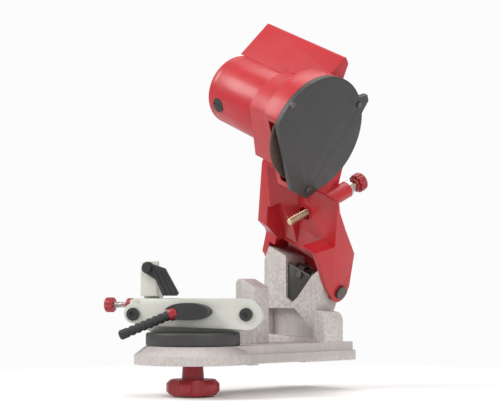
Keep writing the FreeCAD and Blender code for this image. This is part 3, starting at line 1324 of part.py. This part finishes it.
def pawl_screw():
    place = chain(FACE, at(d.pawl_s, d.pawl_z, 0))
    keep(cap_screw("pawl", place, d.pawl_pin - d.fit_gap / 2, d.stop_arm_back + 0.5,
                   d.pawl_front + d.seat_gap, d.pawl_head, 2.6), "pawl_screw")


def adjuster_rod():
    rod("adjuster_rod", ROD, d.rod_radius, d.rod_left + 2, d.rod_right)


def adjuster_knob():
    left = d.rod_left
    right = left + d.rod_knob_long
    body = turned("adjuster_knob", ROD, [
        (0, left), (d.rod_knob_radius - 1, left), (d.rod_knob_radius, left + 1),
        (d.rod_knob_radius, right - 1), (d.rod_knob_radius - 1, right), (d.rod_radius + d.fit_gap, right),
        (d.rod_radius + d.fit_gap, left + 2), (0, left + 2)])
    scallops(body, d.rod_knob_radius, d.small_knurl_bite, d.knurls, left, right)


def lock_wheel():
    right = d.lug_left - d.seat_gap
    left = right - d.lock_wheel_wide
    body = turned("lock_wheel", ROD, [
        (d.rod_radius + d.fit_gap, left), (d.lock_wheel_radius - 1, left), (d.lock_wheel_radius, left + 1),
        (d.lock_wheel_radius, right - 2), (d.lock_wheel_radius - 1.5, right),
        (d.rod_radius + d.fit_gap, right)])
    scallops(body, d.lock_wheel_radius, d.small_knurl_bite, d.knurls - 2, left, right)


# ---------------------------------------------------------------- build, check and write
BUILDERS = [
    base_plate, hinge_tower, tower_screws, stop_anvil, anvil_screw, spring_cover, cover_screw,
    hinge_pin, pin_clip, return_spring, head_arm, hinge_bushes, motor_housing, end_cap, tie_screws,
    switch_box, switch_frame, switch_rocker, cord_gland, spindle_shaft, bearings, stator, armature,
    commutator, brushes, brush_holders, brush_caps, fan, inner_flange, outer_flange, wheel_nut,
    grinding_wheel, wheel_cover, guard_screws, depth_screw, depth_nut, depth_knob, turntable,
    pivot_stud, lock_washer, lock_knob, rear_jaw, vise_screws, front_jaw, jaw_screws, jaw_springs,
    clamp_stud, lever_hub, lever_collar, lever_arm, stop_bracket, chain_pawl, pawl_screw,
    adjuster_rod, adjuster_knob, lock_wheel,
]


def write_parts():
    os.makedirs("parts", exist_ok=True)
    for item in doc.Objects:
        if "Invalid" in item.State or "Error" in item.State:
            raise RuntimeError("%s failed: %s" % (item.Label, item.State))
    for item in nodes:
        if item.Shape.isNull() or not item.Shape.isValid():
            raise RuntimeError("%s has no valid shape" % item.Label)
    for item in nodes:
        item.Shape.exportStep("parts/%s.step" % item.Label)


for build in BUILDERS:
    build()
doc.recompute()
write_parts()
for item in nodes:
    print("%-16s solids %d volume %.1f" % (item.Label, len(item.Shape.Solids), item.Shape.Volume))
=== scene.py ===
"""Bench chain grinder: finishes, rounded edges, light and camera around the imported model."""
import json
import math

import bpy
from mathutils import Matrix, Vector


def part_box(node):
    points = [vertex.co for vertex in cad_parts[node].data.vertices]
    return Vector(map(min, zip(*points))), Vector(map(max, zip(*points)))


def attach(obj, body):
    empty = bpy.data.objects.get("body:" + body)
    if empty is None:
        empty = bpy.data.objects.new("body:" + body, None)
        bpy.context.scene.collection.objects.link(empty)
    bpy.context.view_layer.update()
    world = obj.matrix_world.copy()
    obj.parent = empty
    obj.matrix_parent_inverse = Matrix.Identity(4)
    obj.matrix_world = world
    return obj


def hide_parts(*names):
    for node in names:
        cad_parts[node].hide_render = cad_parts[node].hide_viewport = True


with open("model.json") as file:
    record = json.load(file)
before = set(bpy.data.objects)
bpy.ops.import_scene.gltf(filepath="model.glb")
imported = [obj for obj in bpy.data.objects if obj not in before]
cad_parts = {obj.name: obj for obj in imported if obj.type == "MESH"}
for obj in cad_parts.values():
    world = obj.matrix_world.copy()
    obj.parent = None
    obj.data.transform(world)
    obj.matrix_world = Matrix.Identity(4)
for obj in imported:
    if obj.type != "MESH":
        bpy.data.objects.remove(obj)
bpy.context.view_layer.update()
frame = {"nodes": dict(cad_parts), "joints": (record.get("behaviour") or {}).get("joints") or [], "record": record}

MM = 0.001
SMOOTH_UNDER = math.radians(38)
FLAT_UNDER = math.radians(0.6)
CORNER_OVER = math.radians(32)
MERGE_WITHIN = 0.005 * MM
BEVEL_STEPS = 3
# how many radians a wave texture of scale 1 turns in a metre
WAVE_PHASE = 20

# ---------------------------------------------------------------- colours, linear
RED = (0.43, 0.010, 0.016)
KNOB_RED = (0.31, 0.009, 0.016)
CHARCOAL = (0.034, 0.032, 0.031)
BLACK = (0.022, 0.021, 0.021)
CAST_GREY = (0.45, 0.41, 0.39)
ZINC_CREAM = (0.60, 0.60, 0.545)
BRIGHT_STEEL = (0.62, 0.61, 0.60)
BURNT_STEEL = (0.05, 0.05, 0.052)
DULL_STEEL = (0.13, 0.115, 0.11)
YELLOW_ZINC = (0.62, 0.45, 0.31)
BRONZE = (0.52, 0.34, 0.14)
COPPER = (0.62, 0.27, 0.13)
CORE_GREY = (0.22, 0.22, 0.23)
CARBON = (0.03, 0.03, 0.03)
GRIT = (0.075, 0.045, 0.036)
FLOOR_WHITE = (0.93, 0.92, 0.91)
BACKDROP_WHITE = (0.97, 0.97, 0.97)
RUBBED_ALLOY = (0.70, 0.67, 0.64)

# ---------------------------------------------------------------- patterns: scales per metre, and thread pitches
CLOUD_SCALE = 24
SMEAR_SCALE = 60
WEAR_SCALE = 320
PIT_SCALE = 420
STREAK_SCALE = 260
STREAK_STRETCH = (1.0, 1.0, 0.16)
GRIT_SCALE = 1400
COAT_ROUGHNESS = 0.15
DEPTH_PITCH = 1.25 * MM
ROD_PITCH = 1.0 * MM

node_slots = {row["node"]: row["material_slot"] for row in frame["record"]["subparts"]}
node_bodies = {node: body for body, group in frame["record"]["behaviour"]["bodies"].items() for node in group}


# ---------------------------------------------------------------- shader groups
def new_group(name, inputs, outputs):
    """An empty shader group with named sockets; gives the tree and its two end nodes."""
    tree = bpy.data.node_groups.new(name, "ShaderNodeTree")
    for label, kind, value in inputs:
        socket = tree.interface.new_socket(label, in_out="INPUT", socket_type=kind)
        if value is not None:
            socket.default_value = value
    for label, kind in outputs:
        tree.interface.new_socket(label, in_out="OUTPUT", socket_type=kind)
    return tree, tree.nodes.new("NodeGroupInput"), tree.nodes.new("NodeGroupOutput")


def feed(tree, value, socket):
    """Set a socket to a number, or link another node's output to it."""
    if isinstance(value, (int, float)):
        socket.default_value = value
    else:
        tree.links.new(value, socket)


def noise(tree, vector, scale, detail, rough=0.5):
    node = tree.nodes.new("ShaderNodeTexNoise")
    node.inputs["Detail"].default_value = detail
    node.inputs["Roughness"].default_value = rough
    tree.links.new(vector, node.inputs["Vector"])
    feed(tree, scale, node.inputs["Scale"])
    return node.outputs["Fac"]


def spread(tree, value, low, high, to_low, to_high):
    """Stretch the part of a value between low and high over a new range."""
    node = tree.nodes.new("ShaderNodeMapRange")
    tree.links.new(value, node.inputs["Value"])
    for label, number in (("From Min", low), ("From Max", high), ("To Min", to_low), ("To Max", to_high)):
        feed(tree, number, node.inputs[label])
    return node.outputs["Result"]


def sum_up(tree, operation, *values):
    """A Math node on numbers or sockets."""
    node = tree.nodes.new("ShaderNodeMath")
    node.operation = operation
    for socket, value in zip(node.inputs, values):
        feed(tree, value, socket)
    return node.outputs[0]


def tinted(tree, colour, value):
    """Colour darkened or lightened by a value round 1."""
    node = tree.nodes.new("ShaderNodeVectorMath")
    node.operation = "SCALE"
    tree.links.new(colour, node.inputs[0])
    tree.links.new(value, node.inputs["Scale"])
    return node.outputs["Vector"]


def moulded_group():
    """Fine skin of a moulding or casting: slow clouding of tone and gloss over a fine grain."""
    tree, start, end = new_group(
        "moulded_skin",
        [("Vector", "NodeSocketVector", None), ("Color", "NodeSocketColor", (0.5, 0.5, 0.5, 1)),
         ("Grain Scale", "NodeSocketFloat", 900.0), ("Cloud", "NodeSocketFloat", 0.06),
         ("Gloss Low", "NodeSocketFloat", 0.3), ("Gloss High", "NodeSocketFloat", 0.4)],
        [("Color", "NodeSocketColor"), ("Roughness", "NodeSocketFloat"), ("Height", "NodeSocketFloat")])
    vector = start.outputs["Vector"]
    cloud = noise(tree, vector, CLOUD_SCALE, 4)
    darker = sum_up(tree, "SUBTRACT", 1.0, start.outputs["Cloud"])
    lighter = sum_up(tree, "ADD", 1.0, start.outputs["Cloud"])
    tone = spread(tree, cloud, 0.3, 0.7, darker, lighter)
    tree.links.new(tinted(tree, start.outputs["Color"], tone), end.inputs["Color"])
    smear = noise(tree, vector, SMEAR_SCALE, 3)
    gloss = spread(tree, smear, 0.3, 0.7, start.outputs["Gloss Low"], start.outputs["Gloss High"])
    tree.links.new(gloss, end.inputs["Roughness"])
    tree.links.new(noise(tree, vector, start.outputs["Grain Scale"], 2), end.inputs["Height"])
    return tree


def worn_edge_group():
    """How far a spot lies on an outer edge, broken up as wear is."""
    tree, start, end = new_group(
        "worn_edge",
        [("Vector", "NodeSocketVector", None), ("Reach", "NodeSocketFloat", 0.55)],
        [("Mask", "NodeSocketFloat")])
    geometry = tree.nodes.new("ShaderNodeNewGeometry")
    edge = spread(tree, geometry.outputs["Pointiness"], 0.5, start.outputs["Reach"], 0.0, 1.0)
    patches = spread(tree, noise(tree, start.outputs["Vector"], WEAR_SCALE, 4), 0.4, 0.65, 0.1, 0.6)
    tree.links.new(sum_up(tree, "MULTIPLY", edge, patches), end.inputs["Mask"])
    return tree


MOULDED = moulded_group()
WORN_EDGE = worn_edge_group()


# ---------------------------------------------------------------- materials
def new_material(name):
    material = bpy.data.materials.new(name)
    material.use_nodes = True
    shader = material.node_tree.nodes["Principled BSDF"]
    place = material.node_tree.nodes.new("ShaderNodeTexCoord")
    return material, material.node_tree, shader, place.outputs["Object"]


def add_bump(tree, shader, height, strength, distance):
    bump = tree.nodes.new("ShaderNodeBump")
    bump.inputs["Strength"].default_value = strength
    bump.inputs["Distance"].default_value = distance
    tree.links.new(height, bump.inputs["Height"])
    tree.links.new(bump.outputs["Normal"], shader.inputs["Normal"])


def add_skin(tree, vector, colour, grain, cloud, gloss):
    skin = tree.nodes.new("ShaderNodeGroup")
    skin.node_tree = MOULDED
    tree.links.new(vector, skin.inputs["Vector"])
    if isinstance(colour, tuple):
        skin.inputs["Color"].default_value = (*colour, 1)
    else:
        tree.links.new(colour, skin.inputs["Color"])
    skin.inputs["Grain Scale"].default_value = grain
    skin.inputs["Cloud"].default_value = cloud
    skin.inputs["Gloss Low"].default_value, skin.inputs["Gloss High"].default_value = gloss
    return skin.outputs


def moulding(name, colour, gloss, grain=900, depth=0.03 * MM, cloud=0.05, coat=0.0, metal=0.0):
    """A plastic, rubber or plated surface: one colour, clouded, with a fine grain."""
    material, tree, shader, vector = new_material(name)
    skin = add_skin(tree, vector, colour, grain, cloud, gloss)
    tree.links.new(skin["Color"], shader.inputs["Base Color"])
    tree.links.new(skin["Roughness"], shader.inputs["Roughness"])
    shader.inputs["Metallic"].default_value = metal
    shader.inputs["Coat Weight"].default_value = coat
    shader.inputs["Coat Roughness"].default_value = COAT_ROUGHNESS
    add_bump(tree, shader, skin["Height"], 0.5, depth)
    return material


def plain_colour(tree, colour):
    node = tree.nodes.new("ShaderNodeRGB")
    node.outputs[0].default_value = (*colour, 1)
    return node.outputs[0]


def cast_alloy():
    """Cast light alloy: warm grey, pitted and faintly streaked, brighter where its edges are rubbed."""
    material, tree, shader, vector = new_material("cast_alloy_finish")
    pits = spread(tree, noise(tree, vector, PIT_SCALE, 6, 0.7), 0.36, 0.5, 0.9, 1.0)
    drawn = tree.nodes.new("ShaderNodeMapping")
    drawn.inputs["Scale"].default_value = STREAK_STRETCH
    tree.links.new(vector, drawn.inputs["Vector"])
    streaks = spread(tree, noise(tree, drawn.outputs["Vector"], STREAK_SCALE, 3), 0.35, 0.65, 0.96, 1.04)
    streaked = tinted(tree, tinted(tree, plain_colour(tree, CAST_GREY), pits), streaks)
    skin = add_skin(tree, vector, streaked, 520, 0.05, (0.46, 0.62))
    edge = tree.nodes.new("ShaderNodeGroup")
    edge.node_tree = WORN_EDGE
    tree.links.new(vector, edge.inputs["Vector"])
    rubbed = tree.nodes.new("ShaderNodeMix")
    rubbed.data_type = "RGBA"
    rubbed.inputs["B"].default_value = (*RUBBED_ALLOY, 1)
    tree.links.new(edge.outputs["Mask"], rubbed.inputs["Factor"])
    tree.links.new(skin["Color"], rubbed.inputs["A"])
    tree.links.new(rubbed.outputs["Result"], shader.inputs["Base Color"])
    tree.links.new(skin["Roughness"], shader.inputs["Roughness"])
    shader.inputs["Metallic"].default_value = 0.2
    add_bump(tree, shader, skin["Height"], 0.6, 0.12 * MM)
    return material


def threaded(name, colour, axis, pitch):
    """Plated steel with a thread's ridges square to its axis, one for each pitch."""
    material, tree, shader, vector = new_material(name)
    skin = add_skin(tree, vector, colour, 1500, 0.06, (0.22, 0.34))
    tree.links.new(skin["Color"], shader.inputs["Base Color"])
    tree.links.new(skin["Roughness"], shader.inputs["Roughness"])
    shader.inputs["Metallic"].default_value = 1.0
    turn = tree.nodes.new("ShaderNodeMapping")
    turn.inputs["Rotation"].default_value = Vector(axis).rotation_difference(Vector((0, 0, 1))).to_euler()
    tree.links.new(vector, turn.inputs["Vector"])
    ridges = tree.nodes.new("ShaderNodeTexWave")
    ridges.bands_direction = "Z"
    ridges.inputs["Scale"].default_value = math.tau / (WAVE_PHASE * pitch)
    tree.links.new(turn.outputs["Vector"], ridges.inputs["Vector"])
    add_bump(tree, shader, ridges.outputs["Fac"], 0.9, 0.5 * MM)
    return material


def abrasive():
    """Bonded grit: dark bond with grains in brown, black and a few bright ones."""
    material, tree, shader, vector = new_material("abrasive_finish")
    cells = tree.nodes.new("ShaderNodeTexVoronoi")
    cells.inputs["Scale"].default_value = GRIT_SCALE
    tree.links.new(vector, cells.inputs["Vector"])
    grains = tree.nodes.new("ShaderNodeSeparateColor")
    tree.links.new(cells.outputs["Color"], grains.inputs["Color"])
    tone = spread(tree, grains.outputs["Red"], 0.0, 1.0, 0.45, 1.9)
    tree.links.new(tinted(tree, plain_colour(tree, GRIT), tone), shader.inputs["Base Color"])
    shader.inputs["Roughness"].default_value = 0.85
    add_bump(tree, shader, cells.outputs["Distance"], 0.8, 0.25 * MM)
    return material


DEPTH_AXIS = next(j["axis"] for j in frame["joints"] if j["name"] == "depth_screw_feed")
ROD_AXIS = next(j["axis"] for j in frame["joints"] if j["name"] == "adjuster_turn")

slot_finish = {
    "cast_alloy": cast_alloy(),
    "jaw_alloy": moulding("jaw_finish", ZINC_CREAM, (0.3, 0.42), 700, 0.05 * MM, 0.05, metal=0.25),
    "stop_plate": moulding("stop_finish", ZINC_CREAM, (0.28, 0.4), 900, 0.03 * MM, 0.05, metal=0.3),
    "red_plastic": moulding("red_finish", RED, (0.36, 0.46), 1100, 0.03 * MM, 0.05, coat=0.12),
    "dark_plastic": moulding("charcoal_finish", CHARCOAL, (0.42, 0.52), 1300, 0.05 * MM, 0.07),
    "black_rubber": moulding("rubber_finish", BLACK, (0.55, 0.7), 800, 0.06 * MM, 0.08),
    "bright_steel": moulding("steel_finish", BRIGHT_STEEL, (0.2, 0.34), 1500, 0.02 * MM, 0.05, metal=1.0),
    "black_steel": moulding("burnt_finish", BURNT_STEEL, (0.3, 0.42), 1200, 0.02 * MM, 0.08, metal=0.6),
    "bush_bronze": moulding("bronze_finish", BRONZE, (0.35, 0.5), 1200, 0.03 * MM, 0.08, metal=1.0),
    "core_steel": moulding("core_finish", CORE_GREY, (0.4, 0.5), 1400, 0.05 * MM, 0.08, metal=0.8),
    "copper": moulding("copper_finish", COPPER, (0.25, 0.4), 1400, 0.02 * MM, 0.06, metal=1.0),
    "carbon": moulding("carbon_finish", CARBON, (0.6, 0.75), 1400, 0.05 * MM, 0.1),
    "abrasive": abrasive(),
}
knob_finish = moulding("knob_finish", KNOB_RED, (0.34, 0.44), 1100, 0.04 * MM, 0.06, coat=0.2)
cap_finish = moulding("cap_finish", BLACK, (0.4, 0.5), 1100, 0.03 * MM, 0.06)
dull_finish = moulding("dull_steel_finish", DULL_STEEL, (0.34, 0.5), 1300, 0.03 * MM, 0.12, metal=0.8)
node_finish = {
    "depth_knob": knob_finish, "lock_knob": knob_finish, "adjuster_knob": knob_finish,
    "lock_wheel": knob_finish, "lever_collar": knob_finish, "brush_caps": cap_finish,
    "lever_hub": cap_finish, "hinge_pin": dull_finish, "return_spring": dull_finish,
    "guard_screws": dull_finish, "pawl_screw": cap_finish, "cover_screw": dull_finish,
    "depth_screw": threaded("depth_thread_finish", YELLOW_ZINC, DEPTH_AXIS, DEPTH_PITCH),
    "adjuster_rod": threaded("rod_thread_finish", BRIGHT_STEEL, ROD_AXIS, ROD_PITCH),
}


def finish_of(node):
    return node_finish.get(node, slot_finish[node_slots[node]])


# ---------------------------------------------------------------- pieces from the nodes
def select_only(piece):
    bpy.ops.object.select_all(action="DESELECT")
    piece.select_set(True)
    bpy.context.view_layer.objects.active = piece


def rounded(node, width):
    """A node's shape with its outer and inner corners rounded over."""
    piece = bpy.data.objects.new(node + "_piece", frame["nodes"][node].data.copy())
    bpy.context.scene.collection.objects.link(piece)
    select_only(piece)
    bpy.ops.object.mode_set(mode="EDIT")
    bpy.ops.mesh.select_all(action="SELECT")
    bpy.ops.mesh.remove_doubles(threshold=MERGE_WITHIN)
    bpy.ops.mesh.dissolve_limited(angle_limit=FLAT_UNDER)
    bpy.ops.object.mode_set(mode="OBJECT")
    bpy.ops.mesh.customdata_custom_splitnormals_clear()
    if width:
        bevel = piece.modifiers.new("corners", "BEVEL")
        bevel.width = width
        bevel.segments = BEVEL_STEPS
        bevel.limit_method = "ANGLE"
        bevel.angle_limit = CORNER_OVER
        bevel.use_clamp_overlap = True
        bpy.ops.object.modifier_apply(modifier=bevel.name)
    bpy.ops.object.shade_smooth_by_angle(angle=SMOOTH_UNDER)
    piece.data.materials.clear()
    piece.data.materials.append(finish_of(node))
    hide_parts(node)
    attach(piece, node_bodies[node])
    return piece


# how far each node's corners are rounded, in millimetres
corner_radii = {
    # spring_cover is the black cover over the return spring in the tower's notch; it is partly painted shade, a
    # dark plate standing where the notch lies in shadow
    "base_plate": 1.2, "hinge_tower": 1.4, "stop_anvil": 1.2, "spring_cover": 0.4, "cover_screw": 0.3,
    "hinge_pin": 0.6, "pin_clip": 0.2, "return_spring": 0, "head_arm": 1.4, "motor_housing": 0.8,
    "end_cap": 0.8, "tie_screws": 0.3, "switch_box": 1.0, "switch_frame": 0.3, "switch_rocker": 0.4,
    "cord_gland": 0.4, "wheel_cover": 0.8, "guard_screws": 0.3, "depth_screw": 0.4, "depth_nut": 0.4,
    "depth_knob": 0.7, "brush_caps": 0.4, "grinding_wheel": 0.3, "turntable": 0.8, "rear_jaw": 0.8,
    "front_jaw": 0.8, "jaw_screws": 0.5, "lever_hub": 1.2, "lever_collar": 0.5, "lever_arm": 0.2,
    "stop_bracket": 0.6, "chain_pawl": 0.5, "pawl_screw": 0.3, "adjuster_rod": 0.3, "adjuster_knob": 0.5,
    "lock_wheel": 0.4, "lock_knob": 1.2, "pivot_stud": 0.4, "lock_washer": 0.2, "clamp_stud": 0.3,
    "vise_screws": 0.3, "wheel_nut": 0.3, "outer_flange": 0.3,
}

for node, part in frame["nodes"].items():
    if not part.material_slots:
        part.data.materials.append(finish_of(node))
    for material_slot in part.material_slots:
        material_slot.material = finish_of(node)
for node, radius in corner_radii.items():
    rounded(node, radius * MM)


# ---------------------------------------------------------------- floor, light and camera
EYE_DISTANCE = 1.4
EYE_AROUND = math.radians(42.8)
EYE_UP = math.radians(-2.58)
EYE_TARGET = Vector((0, -0.0685, 0.130))
LOOK_AT = Vector((-0.008, -0.0685, 0.156))
LENS = 98.0
SEEN_UP_TO = 50
FLOOR_WIDE = 8
FLOOR_GAP = 0.5 * MM
GLOW_FROM, GLOW_FULL = 0.16, 0.55
WORLD_ON_OBJECT, WORLD_SEEN = 0.55, 1.0
# name, place, width and length in metres, power in watts
LAMPS = [
    ("key_lamp", (-0.7, -1.3, 1.2), (1.0, 0.8), 21),
    ("side_lamp", (1.5, -0.5, 0.9), (1.0, 1.0), 13),
    ("top_lamp", (0.1, 0.3, 1.7), (1.2, 1.2), 12),
]


def pale_floor():
    """A wide pale floor just under the lock knob, glowing to plain white away from the object."""
    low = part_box("lock_knob")[0].z - FLOOR_GAP
    bpy.ops.object.select_all(action="DESELECT")
    bpy.ops.mesh.primitive_plane_add(size=FLOOR_WIDE, location=(0, 0, low))
    floor = bpy.context.object
    floor.name = "floor"
    material, tree, shader, vector = new_material("floor_finish")
    shader.inputs["Base Color"].default_value = (*FLOOR_WHITE, 1)
    shader.inputs["Roughness"].default_value = 0.9
    reach = tree.nodes.new("ShaderNodeVectorMath")
    reach.operation = "LENGTH"
    tree.links.new(vector, reach.inputs[0])
    glow = tree.nodes.new("ShaderNodeEmission")
    glow.inputs["Color"].default_value = (*BACKDROP_WHITE, 1)
    blend = tree.nodes.new("ShaderNodeMixShader")
    away = spread(tree, reach.outputs["Value"], GLOW_FROM, GLOW_FULL, 0.0, 1.0)
    tree.links.new(away, blend.inputs["Fac"])
    tree.links.new(shader.outputs["BSDF"], blend.inputs[1])
    tree.links.new(glow.outputs["Emission"], blend.inputs[2])
    tree.links.new(blend.outputs["Shader"], tree.nodes["Material Output"].inputs["Surface"])
    floor.data.materials.append(material)


def soft_lamp(name, place, size, power):
    lamp = bpy.data.lights.new(name, "AREA")
    lamp.energy = power
    lamp.shape = "RECTANGLE"
    lamp.size, lamp.size_y = size
    holder = bpy.data.objects.new(name, lamp)
    bpy.context.scene.collection.objects.link(holder)
    holder.location = place
    holder.rotation_euler = (LOOK_AT - Vector(place)).to_track_quat("-Z", "Y").to_euler()


def pale_world():
    world = bpy.data.worlds.new("studio")
    bpy.context.scene.world = world
    world.use_nodes = True
    tree = world.node_tree
    back = tree.nodes["Background"]
    back.inputs["Color"].default_value = (*BACKDROP_WHITE, 1)
    path = tree.nodes.new("ShaderNodeLightPath")
    level = tree.nodes.new("ShaderNodeMapRange")
    level.inputs["To Min"].default_value = WORLD_ON_OBJECT
    level.inputs["To Max"].default_value = WORLD_SEEN
    tree.links.new(path.outputs["Is Camera Ray"], level.inputs["Value"])
    tree.links.new(level.outputs["Result"], back.inputs["Strength"])


def camera():
    eye = bpy.data.cameras.new("eye")
    eye.lens = LENS
    eye.clip_end = SEEN_UP_TO
    holder = bpy.data.objects.new("eye", eye)
    bpy.context.scene.collection.objects.link(holder)
    out = Vector((math.sin(EYE_AROUND) * math.cos(EYE_UP), -math.cos(EYE_AROUND) * math.cos(EYE_UP),
                  math.sin(EYE_UP)))
    holder.location = EYE_TARGET + out * EYE_DISTANCE
    holder.rotation_euler = (LOOK_AT - holder.location).to_track_quat("-Z", "Y").to_euler()
    bpy.context.scene.camera = holder


pale_floor()
pale_world()
for name, place, size, power in LAMPS:
    soft_lamp(name, place, size, power)
camera()
bpy.context.scene.view_settings.view_transform = "Standard"
